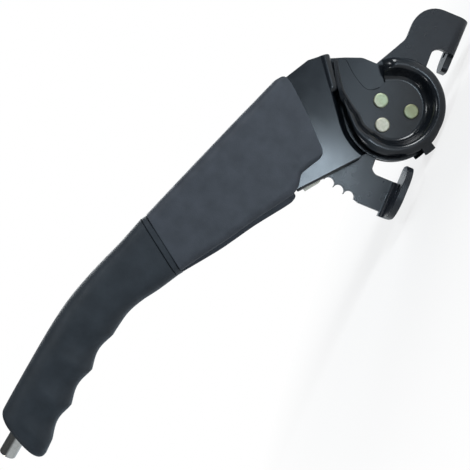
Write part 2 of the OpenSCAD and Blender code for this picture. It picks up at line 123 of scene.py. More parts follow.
def rounded_outline(half, height, square, count=96):
    """Evenly spaced points of a rounded section, as sideways distance and share of the half height."""
    fine = 1440
    outline = []
    for i in range(fine + 1):
        angle = 2 * math.pi * i / fine
        across = math.copysign(abs(math.cos(angle)) ** (2 / square), math.cos(angle))
        upward = math.copysign(abs(math.sin(angle)) ** (2 / square), math.sin(angle))
        outline.append(Vector((half * across, height * upward)))
    return [(spot.x, spot.y / height) for spot in evenly(outline, count)]


def evenly(outline, count):
    """That many points at even distances along a closed outline."""
    steps = [(b - a).length for a, b in zip(outline, outline[1:])]
    pitch = sum(steps) / count
    spots, walked, target = [], 0.0, 0.0
    for start, end, step in zip(outline, outline[1:], steps):
        while target < walked + step - 1e-9 and len(spots) < count:
            spots.append(start.lerp(end, (target - walked) / step))
            target += pitch
        walked += step
    return spots


def between(rows, steps):
    """Smooth row of stations through the given ones."""
    last = len(rows) - 1
    made = []
    for i in range(last):
        a, b, c, d = rows[max(i - 1, 0)], rows[i], rows[i + 1], rows[min(i + 2, last)]
        for k in range(steps):
            t = k / steps
            made.append([
                q + t * (r - p) / 2 + t * t * (p - 2.5 * q + 2 * r - s / 2)
                + t ** 3 * (1.5 * q - 1.5 * r + (s - p) / 2)
                for p, q, r, s in zip(a, b, c, d)])
    made.append(list(rows[last]))
    return made


def sheet_piece(name, points, faces, thickness):
    """Piece of sheet that thick in millimetres, with the given faces as its upper side."""
    mesh = bpy.data.meshes.new(name)
    mesh.from_pydata([tuple(point) for point in points], [], faces)
    piece = new_piece(name, mesh)
    solid = piece.modifiers.new("sheet", "SOLIDIFY")
    solid.thickness = thickness * MM
    solid.offset = -1.0
    solid.use_even_offset = False
    return applied(piece)


def loft(name, rings):
    """Mesh through a row of equal rings, closed by a face at each end."""
    count = len(rings[0])
    points = [point for ring in rings for point in ring]
    faces = []
    for j in range(len(rings) - 1):
        for i in range(count):
            k = (i + 1) % count
            faces.append([j * count + i, j * count + k, (j + 1) * count + k, (j + 1) * count + i])
    faces.append(list(range(count)))
    faces.append([(len(rings) - 1) * count + i for i in range(count)])
    return mesh_from(name, points, faces)


def turned(name, profile, origin, axis, count=64):
    """Mesh of a profile of (radius, distance) pairs in millimetres, turned about an axis."""
    turn = axis.to_track_quat("X", "Z").to_matrix()
    angles = [2 * math.pi * i / count for i in range(count)]
    rings = []
    for radius, distance in profile:
        spots = [Vector((distance, radius * math.cos(angle), radius * math.sin(angle))) for angle in angles]
        rings.append([origin + turn @ (spot * MM) for spot in spots])
    return loft(name, rings)


def along_axis(node, origin, axis):
    """Lowest and highest distance along an axis, and greatest radius, of a CAD node in millimetres."""
    distances, radii = [], []
    for vertex in frame["nodes"][node].data.vertices:
        offset = vertex.co - origin
        distance = offset.dot(axis)
        distances.append(distance / MM)
        radii.append((offset - distance * axis).length / MM)
    return min(distances), max(distances), max(radii)


def merged_copy(node, name):
    """Piece with the joined-up surface of a CAD node, its flat faces made whole."""
    near, flat = 0.002 * MM, math.radians(0.4)
    mesh = frame["nodes"][node].data.copy()
    mesh.materials.clear()
    work = bmesh.new()
    work.from_mesh(mesh)
    bmesh.ops.remove_doubles(work, verts=work.verts, dist=near)
    bmesh.ops.dissolve_limit(work, angle_limit=flat, verts=work.verts, edges=work.edges)
    work.to_mesh(mesh)
    work.free()
    mesh.name = name
    return new_piece(name, mesh)


def applied(piece):
    """Replaces a piece's mesh by the result of its modifiers, and removes them."""
    depsgraph = bpy.context.evaluated_depsgraph_get()
    mesh = bpy.data.meshes.new_from_object(piece.evaluated_get(depsgraph), depsgraph=depsgraph)
    mesh.name = piece.name
    piece.modifiers.clear()
    piece.data = mesh
    return piece


def softened(piece, width, segments=3, angle=32):
    """Rounds a piece's sharp edges to that width in millimetres."""
    bevel = piece.modifiers.new("edges", "BEVEL")
    bevel.width = width * MM
    bevel.segments = segments
    bevel.limit_method = "ANGLE"
    bevel.angle_limit = math.radians(angle)
    bevel.miter_outer = "MITER_ARC"
    return applied(piece)


def smooth(piece, angle=35):
    """Smooth shading that keeps edges sharper than that angle, with flat faces left flat."""
    piece.data.shade_smooth()
    piece.data.set_sharp_from_angle(angle=math.radians(angle))
    normals = piece.modifiers.new("normals", "WEIGHTED_NORMAL")
    normals.keep_sharp = True
    normals.weight = 80
    return applied(piece)


def dressed(piece, material, body, slot, *nodes):
    """Gives a finished piece its material and body, and hides the nodes that it stands for; the record slot
    is not used.
    """
    piece.data.materials.clear()
    piece.data.materials.append(material)
    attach(piece, body)
    if nodes:
        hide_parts(*nodes)
    return piece


# Node helpers


def feed(tree, socket, value):
    """Links an input to another node's output, or sets its value."""
    if isinstance(value, bpy.types.NodeSocket):
        tree.links.new(value, socket)
    else:
        socket.default_value = value


def add_node(tree, kind, **inputs):
    """New node with the named inputs set to values or linked to sockets."""
    made = tree.nodes.new(kind)
    for name, value in inputs.items():
        feed(tree, made.inputs[name.replace("_", " ")], value)
    return made


def mixed_value(tree, factor, first, second):
    """Mix of two numbers, each a value or a socket."""
    made = tree.nodes.new("ShaderNodeMix")
    sockets = [socket for socket in made.inputs if socket.enabled]
    for socket, value in zip(sockets, (factor, first, second)):
        feed(tree, socket, value)
    return next(socket for socket in made.outputs if socket.enabled)


def mixed_colour(tree, factor, first, second):
    """Mix of two colours, each three numbers or a socket."""
    made = add_node(tree, "ShaderNodeMix", Factor=factor)
    made.data_type = "RGBA"
    colours = [socket for socket in made.inputs if socket.type == "RGBA"]
    for socket, value in zip(colours, (first, second)):
        feed(tree, socket, value if isinstance(value, bpy.types.NodeSocket) else (*value, 1.0))
    return next(socket for socket in made.outputs if socket.type == "RGBA")


# Finishes


class Shader:
    """Small builder of one material's node tree."""

    def __init__(self, name):
        self.material = bpy.data.materials.new(name)
        self.material.use_nodes = True
        self.tree = self.material.node_tree
        self.surface = self.tree.nodes["Principled BSDF"]
        self.coords = self.tree.nodes.new("ShaderNodeTexCoord").outputs["Object"]

    def node(self, kind, **inputs):
        """New node of the material."""
        return add_node(self.tree, kind, **inputs)

    def noise(self, size, detail=2.0):
        """Noise whose grains are about that many millimetres wide."""
        made = self.node("ShaderNodeTexNoise", Vector=self.coords, Scale=1 / (size * MM), Detail=detail)
        return made.outputs["Fac"]

    def cells(self, size):
        """Distance to the nearest of cells that are about that many millimetres wide."""
        made = self.node("ShaderNodeTexVoronoi", Vector=self.coords, Scale=1 / (size * MM))
        made.feature = "SMOOTH_F1"
        return made.outputs["Distance"]

    def spread(self, value, low, high, start=0.3, end=0.7):
        """Maps a texture value to a range."""
        made = self.node(
            "ShaderNodeMapRange", Value=value, From_Min=start, From_Max=end, To_Min=low, To_Max=high)
        return made.outputs["Result"]

    def blend(self, factor, first, second):
        """Mix of two colours."""
        return mixed_colour(self.tree, factor, first, second)

    def relief(self, height, depth, before=None):
        """Bump of that depth in millimetres."""
        made = self.node("ShaderNodeBump", Height=height, Distance=depth * MM)
        if before:
            self.tree.links.new(before, made.inputs["Normal"])
        return made.outputs["Normal"]

    def link(self, value, name):
        """Feeds a texture to the named input of the surface."""
        self.tree.links.new(value, self.surface.inputs[name])

    def set(self, **values):
        """Sets inputs of the surface to fixed values."""
        for name, value in values.items():
            self.surface.inputs[name.replace("_", " ")].default_value = value


def shade(colour, factor):
    """Colour made darker or lighter."""
    return tuple(min(1.0, channel * factor) for channel in colour)


def skin_finish(name, colour, grain, depth, rough):
    """Moulded soft plastic with a fine grain."""
    make = Shader(name)
    mottle = make.spread(make.noise(9.0, 3.0), 0.0, 1.0)
    make.link(make.blend(mottle, shade(colour, 0.88), shade(colour, 1.14)), "Base Color")
    make.link(make.spread(make.noise(4.0, 4.0), rough - 0.05, rough + 0.06), "Roughness")
    pores = make.relief(make.cells(grain), depth)
    make.link(make.relief(make.noise(grain * 0.45, 2.0), depth * 0.5, pores), "Normal")
    make.set(Specular_IOR_Level=0.22)
    return make.material


def coat_finish(name, colour, rough):
    """Dipped black paint on pressed steel, with orange peel and slow waves."""
    wave_depth, peel_depth = 0.06, 0.0004
    make = Shader(name)
    cloud = make.spread(make.noise(14.0, 4.0), 0.0, 1.0)
    make.link(make.blend(cloud, shade(colour, 0.85), shade(colour, 1.2)), "Base Color")
    make.link(make.spread(make.noise(7.0, 1.0), rough - 0.015, rough + 0.02), "Roughness")
    wave = make.relief(make.noise(24.0, 0.0), wave_depth)
    make.link(make.relief(make.noise(3.2, 0.0), peel_depth, wave), "Normal")
    make.set(Specular_IOR_Level=0.5)
    return make.material


def add_marks(make, rough, depth):
    """Makes a finish metal, with fine marks in its roughness and relief."""
    marks = make.noise(0.3, 3.0)
    make.link(make.spread(marks, rough - 0.06, rough + 0.08), "Roughness")
    make.link(make.relief(marks, depth), "Normal")
    make.set(Metallic=1.0)


def metal_finish(name, colour, rough, depth=0.004):
    """Bare or plated metal with cloudy colour and fine marks."""
    make = Shader(name)
    cloud = make.spread(make.noise(1.8, 5.0), 0.0, 1.0)
    make.link(make.blend(cloud, colour, shade(colour, 0.82)), "Base Color")
    add_marks(make, rough, depth)
    return make.material


def plated_finish(name, dull, middle, pale, rough):
    """Passivated zinc that runs from dull to pale from the rear rivet to the front one."""
    slope = Vector((1.0, 0.0, 0.6))
    rear_change, front_change = (-9.0, -3.0), (4.0, 10.0)
    make = Shader(name)
    along = make.node("ShaderNodeVectorMath")
    along.operation = "DOT_PRODUCT"
    feed(make.tree, along.inputs[0], make.coords)
    feed(make.tree, along.inputs[1], slope)
    first, second = [
        make.spread(along.outputs["Value"], 0.0, 1.0, *(slope.dot(PIVOT) + edge * MM for edge in change))
        for change in (rear_change, front_change)]
    colour = make.blend(second, make.blend(first, dull, middle), pale)
    stain = make.spread(make.noise(1.6, 5.0), 0.0, 0.5)
    make.link(make.blend(stain, colour, dull), "Base Color")
    add_marks(make, rough, 0.004)
    return make.material


# Geometry node trees


class NodeTree:
    """Small builder of a geometry node tree with named inputs."""

    def __init__(self, name):
        self.group = bpy.data.node_groups.new(name, "GeometryNodeTree")
        self.add_socket("Geometry", "NodeSocketGeometry", "INPUT")
        self.add_socket("Geometry", "NodeSocketGeometry", "OUTPUT")
        self.entry = self.group.nodes.new("NodeGroupInput")
        self.exit = self.group.nodes.new("NodeGroupOutput")
        self.identifiers = {}

    def add_socket(self, name, kind, direction):
        """New input or output of the whole tree."""
        return self.group.interface.new_socket(name, in_out=direction, socket_type=kind)

    def value(self, name, kind, default=None):
        """Named input of the tree."""
        socket = self.add_socket(name, kind, "INPUT")
        if default is not None:
            socket.default_value = default
        self.identifiers[name] = socket.identifier
        return self.entry.outputs[name]

    def node(self, kind, **inputs):
        """New node of the tree."""
        return add_node(self.group, kind, **inputs)

    def close(self, geometry, material):
        """Ends the tree in Realize Instances and Set Material."""
        real = self.node("GeometryNodeRealizeInstances", Geometry=geometry)
        coloured = self.node("GeometryNodeSetMaterial", Geometry=real.outputs[0], Material=material)
        self.group.links.new(coloured.outputs[0], self.exit.inputs[0])

    def grow(self, piece, **values):
        """Runs the tree on a piece and keeps the result as a plain mesh."""
        modifier = piece.modifiers.new("tree", "NODES")
        modifier.node_group = self.group
        for name, value in values.items():
            modifier[self.identifiers[name.replace("_", " ")]] = value
        return applied(piece)


# Settings


def colour_property(name, description, default):
    """Colour that a user can change."""
    return bpy.props.FloatVectorProperty(
        name=name, description=description, default=default, subtype="COLOR", min=0.0, max=1.0)


def number_property(name, description, default, unit="LENGTH"):
    """Length in metres, or number of another unit, that a user can change."""
    return bpy.props.FloatProperty(name=name, description=description, default=default, unit=unit)


class LeverFinishes(bpy.types.PropertyGroup):
    """Colours of the lever's surfaces"""

    grip: colour_property("Grip", "Soft skin of the grip", (0.031, 0.037, 0.044))
    sleeve: colour_property("Sleeve", "Moulded sleeve", (0.052, 0.058, 0.069))
    arm: colour_property("Arm", "Paint on the cheeks", (0.006, 0.0075, 0.010))
    dish: colour_property("Dish", "Paint on the dished plates", (0.006, 0.0075, 0.010))
    bracket: colour_property("Bracket", "Paint on the floor bracket", (0.010, 0.0125, 0.017))
    zinc: colour_property("Upper rivet", "Passivated zinc", (0.42, 0.48, 0.33))
    zinc_dull: colour_property("Rear rivet", "Stained zinc", (0.27, 0.28, 0.17))
    zinc_pale: colour_property("Front rivet", "Worn pale zinc", (0.56, 0.525, 0.44))
    plating: colour_property("Button", "Plated button", (0.50, 0.44, 0.385))
    steel: colour_property("Steel", "Bare inner steel", (0.50, 0.50, 0.51))
    bush: colour_property("Bush", "Plastic of the guide bush", (0.72, 0.72, 0.66))


class LeverSizes(bpy.types.PropertyGroup):
    """Sizes of the lever's details"""

    edge_round: number_property("Edges", "Rounding of the edges of bracket and cheeks", 0.0006)
    # The dark line round each ear's cutout is painted shade: a strip standing for the shadow in the joint
    painted_shade_width: number_property("Joint", "Width of the dark line round each ear's cutout", 0.00065)
    finger_depth: number_property("Hollows", "Depth of the grip's finger hollows", 0.0028)
    sleeve_wall: number_property("Sleeve wall", "Thickness of the sleeve", 0.0031)
    spring_wire: number_property("Spring wire", "Thickness of the return spring's wire", 0.0013)


class LeverStudio(bpy.types.PropertyGroup):
    """Camera and light"""

    distance: number_property("Camera distance", "From the middle plane to the camera", 0.50)
    across: number_property("Field width", "Width of the picture at the middle plane", 0.2914)
    aim_x: number_property("Aim forward", "Picture centre, forward of the pivot", 0.1077)
    aim_z: number_property("Aim up", "Picture centre, above the pivot", 0.0607)
    roll: number_property(
        "Roll", "Slope of the picture's upward side above the rearward direction",
        math.radians(22.5), "ROTATION")
    room: number_property("Room light", "Brightness of the room above the paper", 0.13, "NONE")
    front: number_property("Front box", "Power of the small lamp beside the camera", 0.4, "POWER")
    side: number_property("Side box", "Power of the dim lamp under the bracket", 0.08, "POWER")
    key: number_property("Key box", "Power of the lamp behind the bracket", 4.7, "POWER")
    top: number_property("Top box", "Power of the lamp above", 1.5, "POWER")
    end: number_property("End box", "Power of the lamp past the grip", 0.9, "POWER")
    rear: number_property("Rear box", "Power of the lamp on the far side", 5.5, "POWER")


# Stage


def area_lamp(name, position, target, size, power, colour):
    """Square soft lamp that faces a target."""
    lamp = bpy.data.lights.new(name, "AREA")
    lamp.shape = "SQUARE"
    lamp.size = size
    lamp.energy = power
    lamp.color = colour
    holder = bpy.data.objects.new(name, lamp)
    holder.location = position
    holder.rotation_euler = (target - position).to_track_quat("-Z", "Y").to_euler()
    bpy.context.scene.collection.objects.link(holder)


class LEVER_OT_stage(bpy.types.Operator):
    """Adds the camera, the lamps, the pale floor and the background"""

    bl_idname = "lever.stage"
    bl_label = "Stage"

    cool, pale = (0.72, 0.87, 1.0), (0.95, 0.98, 1.0)

    # Lamps near the camera: place in the frame, side-view point that they face, and size in metres
    near_lamps = (
        ("front", (0.01, 0.52, 0.005), (52, 25), 0.09),
        ("side", (-0.145, 0.52, -0.03), (0, 0), 0.12))

    # Lamps farther off: place from the picture's centre, which they face, and size in metres
    far_lamps = (
        ("key", (-0.65, 0.50, 0.30), 0.30),
        ("top", (0.05, 0.40, 0.80), 0.16),
        ("end", (0.80, 0.25, 0.30), 0.12),
        ("rear", (-0.10, -0.75, 0.50), 0.60))

    # Sine of the angle above and below level over which paper and room blend
    horizon = 0.25

    # Floor disc in metres and its own white
    floor_radius, floor_gap, floor_sides = 0.36, 0.0002, 64
    floor_white = 0.9

    # Fade of the floor to plain white: where it starts and is whole, in metres, and its least share
    fade_start, fade_end, fade_least = 0.10, 0.32, 0.75

    def execute(self, context):
        studio = context.scene.lever_studio
        scene = context.scene
        scene.view_settings.view_transform = "Standard"
        self.add_camera(scene, studio)
        self.add_world(scene, studio.room)
        self.add_floor()
        middle = PIVOT + Vector((studio.aim_x, 0, studio.aim_z))
        for name, position, target, size in self.near_lamps:
            power = getattr(studio, name)
            area_lamp(f"{name}_box", Vector(position), place(*target), size, power, self.cool)
        for name, offset, size in self.far_lamps:
            power = getattr(studio, name)
            area_lamp(f"{name}_box", middle + Vector(offset), middle, size, power, self.pale)
        return {"FINISHED"}

    def add_camera(self, scene, studio):
        """Camera square to the middle plane, rolled as in the photograph."""
        camera = bpy.data.cameras.new("camera")
        camera.sensor_width = 36.0
        camera.lens = camera.sensor_width * studio.distance / studio.across
        camera.clip_start = 0.01
        holder = bpy.data.objects.new("camera", camera)
        up = Vector((-math.cos(studio.roll), 0, math.sin(studio.roll)))
        back = Vector((0, 1, 0))
        right = up.cross(back)
        turn = Matrix((right, up, back)).transposed().to_4x4()
        position = PIVOT + Vector((studio.aim_x, studio.distance, studio.aim_z))
        holder.matrix_world = Matrix.Translation(position) @ turn
        scene.collection.objects.link(holder)
        scene.camera = holder

    def add_world(self, scene, room):
        """Dim even room, with white paper below it in reflections and white all round for the camera."""
        world = bpy.data.worlds.new("studio")
        world.use_nodes = True
        tree = world.node_tree
        path = add_node(tree, "ShaderNodeLightPath")
        seen = path.outputs["Is Camera Ray"]
        coords = add_node(tree, "ShaderNodeTexCoord")
        direction = add_node(tree, "ShaderNodeSeparateXYZ", Vector=coords.outputs["Generated"])
        paper = add_node(
            tree, "ShaderNodeMapRange", Value=direction.outputs["Z"],
            From_Min=-self.horizon, From_Max=self.horizon, To_Min=1.0, To_Max=room)
        mirrored = add_node(tree, "ShaderNodeMath")
        mirrored.operation = "MAXIMUM"
        feed(tree, mirrored.inputs[0], path.outputs["Is Glossy Ray"])
        feed(tree, mirrored.inputs[1], path.outputs["Is Transmission Ray"])
        level = mixed_value(tree, mirrored.outputs[0], room, paper.outputs["Result"])
        background = tree.nodes["Background"]
        feed(tree, background.inputs["Color"], mixed_colour(tree, seen, self.cool, (1.0, 1.0, 1.0)))
        feed(tree, background.inputs["Strength"], mixed_value(tree, seen, level, 1.0))
        scene.world = world

    def add_floor(self):
        """Pale disc that keeps the shadow and fades into the white background."""
        low = CAD_BOX[0][2] - self.floor_gap
        rim = [2 * math.pi * i / self.floor_sides for i in range(self.floor_sides)]
        points = [
            (self.floor_radius * math.cos(angle), self.floor_radius * math.sin(angle), low) for angle in rim]
        floor = new_piece("floor", mesh_from("floor", points, [list(range(self.floor_sides))]))
        make = Shader("floor_paper")
        white = self.floor_white
        make.set(Roughness=0.9, Specular_IOR_Level=0.1, Base_Color=(white, white, white, 1))
        distance = make.node("ShaderNodeVectorMath")
        distance.operation = "LENGTH"
        feed(make.tree, distance.inputs[0], make.coords)
        far = make.spread(
            distance.outputs["Value"], self.fade_least, 1.0, self.fade_start, self.fade_end)
        seen = make.node("ShaderNodeLightPath").outputs["Is Camera Ray"]
        mix = make.node("ShaderNodeMixShader")
        glow = make.node("ShaderNodeEmission").outputs[0]
        layers = (mixed_value(make.tree, seen, 0.0, far), make.surface.outputs[0], glow)
        for socket, layer in zip(mix.inputs, layers):
            feed(make.tree, socket, layer)
        feed(make.tree, make.tree.nodes["Material Output"].inputs["Surface"], mix.outputs[0])
        floor.data.materials.append(make.material)


# Pressed steel


class LEVER_OT_bracket(bpy.types.Operator):
    """Dresses the floor bracket with its toothed sector"""

    bl_idname = "lever.bracket"
    bl_label = "Floor bracket"

    def execute(self, context):
        edge_round = context.scene.lever_sizes.edge_round / MM
        piece = smooth(softened(merged_copy("base_plate", "floor_bracket"), edge_round))
        finish = coat_finish("bracket_coat", context.scene.lever_finishes.bracket, 0.28)
        dressed(piece, finish, "base", "bracket_paint", "base_plate")
        return {"FINISHED"}


class LEVER_OT_cheeks(bpy.types.Operator):
    """Dresses the two pressed cheeks of the arm, with a bead in their step and a rolled lower edge"""

    bl_idname = "lever.cheeks"
    bl_label = "Cheeks"

    # Bead: slope of the step, distance from the pivot line, radius, distance sideways and its two ends
    step_slope = 52.0
    bead_at, bead_r, bead_y = 33.6, 3.9, 10.2
    bead_start, bead_end = 19.5, 43.0

    # Rolled edge: its line in the side view, radius and distance sideways
    edge_line = ((34.6, 9.1), (66.1, 35.9))
    edge_r, edge_y = 1.9, 11.6
    end_bevel = 0.5

    def execute(self, context):
        finish = coat_finish("arm_coat", context.scene.lever_finishes.arm, 0.18)
        edge_round = context.scene.lever_sizes.edge_round / MM
        reaches = (self.bead_start, self.bead_end)
        step_line = [turned_by((self.bead_at, reach), self.step_slope) for reach in reaches]
        for hand, side in (("left", 1), ("right", -1)):
            piece = softened(merged_copy(f"{hand}_cheek", f"{hand}_arm_cheek"), edge_round)
            dressed(smooth(piece), finish, "lever", "arm_paint", f"{hand}_cheek")
            bead = self.rib(f"{hand}_step_bead", step_line, self.bead_r, side * self.bead_y)
            roll = self.rib(f"{hand}_edge_roll", self.edge_line, self.edge_r, side * self.edge_y)
            for rib in (bead, roll):
                dressed(smooth(rib, 60), finish, "lever", "arm_paint")
        return {"FINISHED"}

    def rib(self, name, line, radius, y):
        """Round rib along a line of the cheek, with a domed first end."""
        first, last = (Vector(spot) for spot in line)
        along = last - first
        dome = [math.radians(angle) for angle in range(10, 91, 10)]
        profile = [(radius * math.sin(turn), radius * (1 - math.cos(turn))) for turn in dome]
        profile += [(radius, along.length - self.end_bevel), (radius - self.end_bevel, along.length)]
        axis = Vector((along.x, 0, along.y))
        return new_piece(name, turned(name, profile, place(*first, y), axis, 40))


class LEVER_OT_dishes(bpy.types.Operator):
    """Makes the two dished cable guides with their ears and stop tabs"""

    bl_idname = "lever.dishes"
    bl_label = "Dishes"

    sheet, edge_round = 2.0, 0.7

    # Painted shade line, a dark strip standing for the shadow where the ear's edge meets the cheek: height
    # over the cheek, and overlap with the ear
    line_lift, line_overlap = 0.3, 0.4

    # Ear: slope of its step, drop of its upper end, and share of the drop past which its lip narrows
    ear_slope, ear_drop, ear_narrow = 52.0, 6.5, 0.55

    # Lip along the ear: share at the upper end, where more than 1 counts as whole, and loss to the rim
    ear_lip, ear_lip_loss = 1.5, 1.1

    # Rim: radius, and degrees above level of its start and end with the step between its stations
    rim_r = 29.0
    rim_start, rim_end, rim_step = 44.0, -218.0, 3.0

    # Stop tab: its middle, half width, flank and clear space in degrees, and its reach
    tab_at, tab_half, tab_flank, tab_clear = -61.0, 6.4, 0.8, 2.0
    tab_reach = 4.4

    # Along the rim: swell after the tab, lip after the ear and fall at the rear end, with their degrees
    swell, swell_start, swell_span = 1.8, -85.0, 70.0
    lip_end, lip_span, lip_most = 18.0, 66.0, 0.38
    fall, fall_span = 0.5, 14.0

    # Ear outline beside the step of the cheek: distance from the pivot line, and along the step
    ear_edge = ((26.9, 39.2), (28.9, 30.0), (30.1, 20.0), (30.2, 11.0), (29.75, 3.5))
    ear_back = (
        (4.2, 15.7), (8.6, 15.4), (11.9, 16.4), (14.2, 19.0), (16.1, 23.0), (18.2, 29.0),
        (19.4, 35.0), (20.4, 37.9), (22.2, 38.9))

    # Pressed section from edge to floor: distance inwards, and height below the rim or share of the height
    bowl = (
        (0.0, -2.3), (0.5, -1.55), (1.2, -0.9), (2.1, -0.4), (3.1, -0.1), (4.2, 0.0), (5.2, -0.2),
        (6.1, -0.75), (6.8, -1.7), (7.4, -3.2), (8.2, -6.0), (8.8, -7.6), (9.5, -8.8), (10.4, -9.65),
        (11.4, -10.08), (12.4, -10.2))
    lip = (
        (1.6, 1.0), (1.61, 0.95), (1.62, 0.9), (1.64, 0.84), (1.67, 0.76), (1.7, 0.67), (1.74, 0.58),
        (1.8, 0.49), (1.88, 0.4), (2.0, 0.3), (2.16, 0.22), (2.4, 0.145), (2.7, 0.085), (3.1, 0.04),
        (3.6, 0.01), (4.2, 0.0))

    def execute(self, context):
        finish = coat_finish("dish_coat", context.scene.lever_finishes.dish, 0.22)
        # Near-black matte finish of that line: painted shade, darker than the dish paint
        gap = skin_finish("joint_gap", shade(context.scene.lever_finishes.dish, 0.3), 0.8, 0.01, 0.9)
        width = context.scene.lever_sizes.painted_shade_width / MM
        for hand, side in (("left", 1), ("right", -1)):
            low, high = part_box(f"{hand}_dish")
            levels = sorted(abs(corner.y - PIVOT.y) / MM for corner in (low, high))
            floor = levels[0] + self.sheet
            points, faces = self.surface(floor, levels[1] - floor)
            spots = [place(x, z, side * y) for x, z, y in points]
            if side < 0:
                faces = [face[::-1] for face in faces]
            piece = sheet_piece(f"{hand}_cable_dish", spots, faces, self.sheet)
            piece = smooth(softened(piece, self.edge_round, 4, 50), 40)
            dressed(piece, finish, "lever", "dish_paint", f"{hand}_dish")
            # Painted shade: a dark strip round the ear's cutout, where the shadow of the joint falls
            line = self.painted_shade_line(f"{hand}_joint_line", levels[0] + self.line_lift, side, width)
            dressed(line, gap, "lever", "dish_paint")
        return {"FINISHED"}

    def cutout(self):
        """Edge of the ear's cutout in the side view."""
        return [Vector(turned_by(spot, self.ear_slope)) for spot in between(self.ear_back, 5)]

    def painted_shade_line(self, name, level, side, width):
        """Dark strip of that width where the ear's edge meets the cheek: painted shade for the shadow in that
        joint.
        """
        back = self.cutout()
        points, faces = [], []
        for i, spot in enumerate(back):
            along = back[min(i + 1, len(back) - 1)] - back[max(i - 1, 0)]
            outward = Vector((-along.y, along.x)).normalized()
            for reach in (-self.line_overlap, width):
                edge = spot + reach * outward
                points.append(place(edge.x, edge.y, side * level))
            if i:
                face = [2 * i - 2, 2 * i - 1, 2 * i + 1, 2 * i]
                faces.append(face if side > 0 else face[::-1])
        return sheet_piece(name, points, faces, self.line_lift)

    def stations(self):
        """Edge points in the side view with the share of lip, height share and reach of the tab."""
        ear = [Vector(turned_by(spot, self.ear_slope)) for spot in between(self.ear_edge, 6)]
        made = []
        for i, spot in enumerate(ear):
            lip_share = min(1.0, self.ear_lip - self.ear_lip_loss * i / (len(ear) - 1))
            made.append((spot, lip_share, 1.0, 0.0))
        steps = round((self.rim_start - self.rim_end) / self.rim_step)
        angles = [self.rim_start + (self.rim_end - self.rim_start) * i / steps for i in range(steps + 1)]
        angles = [
            angle for angle in angles if abs(abs(angle - self.tab_at) - self.tab_half) > self.tab_clear]
        for edge in (self.tab_half, self.tab_half + self.tab_flank):
            angles += [self.tab_at - edge, self.tab_at + edge]
        for angle in sorted(angles, reverse=True):
            lip_share = max(0.0, min(self.lip_most, (angle - self.lip_end) / self.lip_span))
            ending = max(0.0, 1 - (angle - self.rim_end) / self.fall_span)
            tab = self.tab_reach if abs(angle - self.tab_at) <= self.tab_half + 0.01 else 0.0
            swollen = max(0.0, min(1.0, (self.swell_start - angle) / self.swell_span))
            wide = self.rim_r + self.swell * swollen
            made.append((wide * unit(angle), lip_share, 1 - self.fall * ending * ending, tab))
        return made

    def surface(self, floor, depth):
        """Upper surface of the pressing as (forward, up, sideways) points and faces."""
        stations = self.stations()
        points, faces = [], []
        count = len(self.bowl)
        for i, (spot, lip_share, rise, tab) in enumerate(stations):
            along = stations[min(i + 1, len(stations) - 1)][0] - stations[max(i - 1, 0)][0]
            inward = Vector((along.y, -along.x)).normalized()
            drop = self.ear_drop * max(0.0, spot.dot(unit(self.ear_slope + 90))) / self.ear_edge[0][1]
            narrow = 1.0 - max(0.0, drop / self.ear_drop - self.ear_narrow)
            for k, (bowl, lip) in enumerate(zip(self.bowl, self.lip)):
                reach = bowl[0] + (lip[0] * narrow - bowl[0]) * lip_share - (tab if k == 0 else 0.0)
                height = (depth + bowl[1]) * (1 - lip_share) + (depth - drop) * lip[1] * lip_share
                flat = spot + reach * inward
                points.append((flat.x, flat.y, floor + height * rise))
            if i:
                for k in range(count - 1):
                    a, b = (i - 1) * count + k, i * count + k
                    faces.append([a, b, b + 1, a + 1])
        inner = [i * count + count - 1 for i in range(len(stations))]
        first = len(points)
        points += [(spot.x, spot.y, floor) for spot in self.cutout()]
        faces.append(inner + list(range(first, len(points))))
        return points, faces


class LEVER_OT_rivets(bpy.types.Operator):
    """Sets the heads of the three rivets on both sides"""

    bl_idname = "lever.rivets"
    bl_label = "Rivets"

    nodes = ("rivet_upper", "rivet_lower", "rivet_front")

    def execute(self, context):
        colours = context.scene.lever_finishes
        finish = plated_finish("rivet_zinc", colours.zinc_dull, colours.zinc, colours.zinc_pale, 0.46)
        boxes = [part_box(node) for node in self.nodes]
        radius = (boxes[0][1].x - boxes[0][0].x) / 2 / MM
        head_mesh = turned("rivet_head", self.profile(radius), Vector(), Vector((1, 0, 0)), 48)
        head = new_piece("rivet_head", head_mesh)
        seats, turns = [], []
        for low, high in boxes:
            middle = (low + high) / 2
            for hand, end in ((1, high.y), (-1, low.y)):
                seats.append((middle.x, end, middle.z))
                turns.append((0.0, 0.0, hand * math.pi / 2))
        mesh = bpy.data.meshes.new("lever_rivets")
        mesh.from_pydata(seats, [], [])
        turn_values = mesh.attributes.new("turn", "FLOAT_VECTOR", "POINT")
        turn_values.data.foreach_set("vector", [angle for turn in turns for angle in turn])
        tree = NodeTree("rivet_heads")
        shape = tree.node("GeometryNodeObjectInfo", Object=tree.value("Head", "NodeSocketObject"))
        turn = tree.node("GeometryNodeInputNamedAttribute", Name="turn")
        turn.data_type = "FLOAT_VECTOR"
        placed = tree.node(
            "GeometryNodeInstanceOnPoints", Points=tree.entry.outputs["Geometry"],
            Instance=shape.outputs["Geometry"], Rotation=turn.outputs["Attribute"])
        tree.close(placed.outputs[0], finish)
        rivets = tree.grow(new_piece("lever_rivets", mesh), Head=head)
        bpy.data.objects.remove(head)
        dressed(smooth(rivets), finish, "lever", "zinc", *self.nodes)
        return {"FINISHED"}

    def profile(self, radius):
        """Head from its seat to its slightly hollow top, which lies at distance 0."""
        return [
            (radius, -1.7), (radius, -0.75), (radius - 0.12, -0.4), (radius - 0.4, -0.14),
            (radius - 0.8, -0.02), (radius - 1.2, 0.0), (radius - 1.7, -0.06), (0.4, -0.12)]


